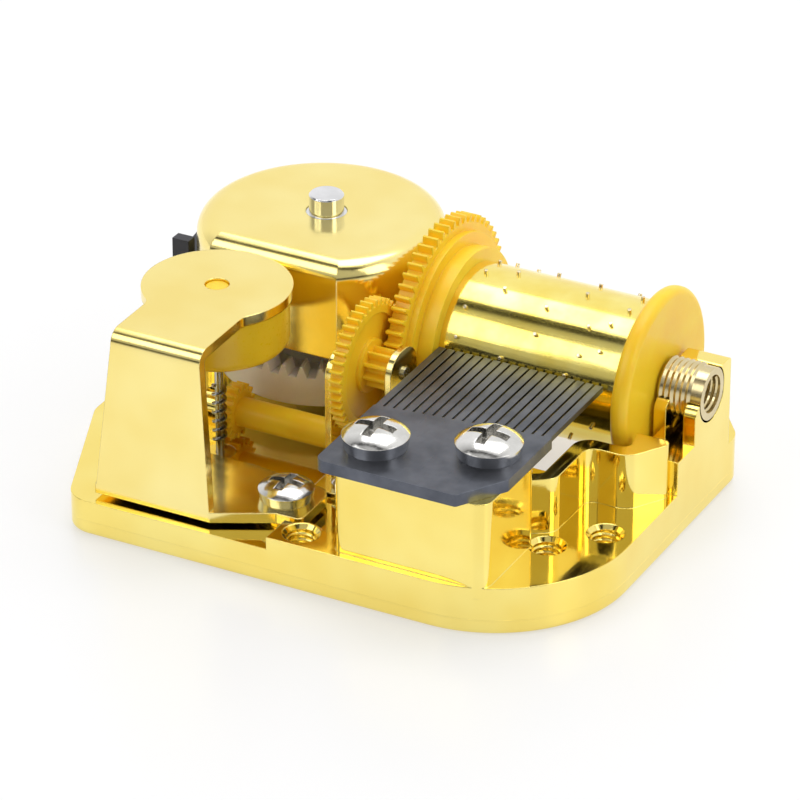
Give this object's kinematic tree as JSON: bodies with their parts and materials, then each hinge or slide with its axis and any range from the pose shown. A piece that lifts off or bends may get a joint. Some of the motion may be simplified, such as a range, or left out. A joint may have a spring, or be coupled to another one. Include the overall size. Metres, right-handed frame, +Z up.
{
  "type": "cylinder music movement",
  "caption": "Wind-up cylinder music movement: spring housing, pinned cylinder, steel comb, gear train and friction governor on a gold-plated cast base",
  "frame": {"origin": "on the winding arbor's axis at the underside of the base, where the key screws in", "axes": "X along the cylinder to the right, Y to the back, Z up"},
  "size_m": [0.0511, 0.0399, 0.021],
  "materials": {
    "gold_plate": "bright gold plating on cast zinc and pressed steel",
    "satin_gold": "satin gold plating",
    "comb_steel": "hardened steel with a ground grey face",
    "screw_chrome": "bright nickel plating",
    "yellow_plastic": "amber yellow acetal",
    "white_nylon": "white nylon",
    "black_plastic": "black moulded plastic",
    "pale_brass": "turned brass",
    "plain_steel": "turned or rolled steel",
    "lead_grey": "soft lead"
  },
  "bodies": {
    "frame": {"base_plate": "gold_plate", "spring_housing": "gold_plate", "housing_rivets": "gold_plate", "mainspring": "plain_steel", "arbor_bush": "pale_brass", "comb": "comb_steel", "tuning_leads": "lead_grey", "comb_screws": "screw_chrome", "cylinder_bush": "pale_brass", "idler_pin": "plain_steel", "idler_bracket": "gold_plate", "idler_bracket_screw": "screw_chrome", "worm_foot_bearing": "pale_brass", "governor_cup": "yellow_plastic", "governor_pivot": "yellow_plastic", "governor_bracket": "gold_plate", "governor_bracket_screw": "screw_chrome", "stop_lever_pin": "plain_steel"},
    "cylinder": {"cylinder_tube": "satin_gold", "tune_pins": "satin_gold", "cylinder_gear": "yellow_plastic", "cylinder_end_disc": "yellow_plastic", "cylinder_axle": "plain_steel", "drive_pinion": "yellow_plastic"},
    "great_wheel": {"great_wheel": "white_nylon", "clutch_sleeve": "plain_steel"},
    "winding_arbor": {"winding_arbor": "screw_chrome", "spring_core": "plain_steel"},
    "idler": {"idler_gear": "yellow_plastic"},
    "worm_shaft": {"worm_shaft": "yellow_plastic"},
    "governor": {"worm": "plain_steel", "governor_rotor": "yellow_plastic", "governor_weights": "lead_grey"},
    "stop_lever": {"stop_lever": "black_plastic"}
  },
  "joints": [
    {"name": "cylinder_spin", "type": "hinge", "parent": "frame", "child": "cylinder", "pos_m": [0.02, 0, 0.0108], "axis": [1, 0, 0], "continuous": true},
    {"name": "great_wheel_spin", "type": "hinge", "parent": "frame", "child": "great_wheel", "pos_m": [0, 0, 0.006], "axis": [0, 0, 1], "continuous": true},
    {"name": "winding", "type": "hinge", "parent": "great_wheel", "child": "winding_arbor", "pos_m": [0, 0, 0.006], "axis": [0, 0, 1], "range_deg": [0, 1440]},
    {"name": "idler_spin", "type": "hinge", "parent": "frame", "child": "idler", "pos_m": [0.011, -0.01116, 0.01233], "axis": [1, 0, 0], "continuous": true},
    {"name": "worm_shaft_spin", "type": "hinge", "parent": "frame", "child": "worm_shaft", "pos_m": [0.004, -0.01273, 0.00583], "axis": [1, 0, 0], "continuous": true},
    {"name": "governor_spin", "type": "hinge", "parent": "frame", "child": "governor", "pos_m": [-0.0019, -0.0155, 0.01], "axis": [0, 0, 1], "continuous": true},
    {"name": "stop_lever_swing", "type": "hinge", "parent": "frame", "child": "stop_lever", "pos_m": [-0.0125, 0.003, 0.012], "axis": [0, 0, 1], "range_deg": [-20, 3]}
  ],
  "couplings": [
    {"joint": "great_wheel_spin", "follows": "cylinder_spin", "ratio": 0.22222},
    {"joint": "idler_spin", "follows": "cylinder_spin", "ratio": -6.7778},
    {"joint": "worm_shaft_spin", "follows": "cylinder_spin", "ratio": 33.136},
    {"joint": "governor_spin", "follows": "cylinder_spin", "ratio": 530.17}
  ]
}
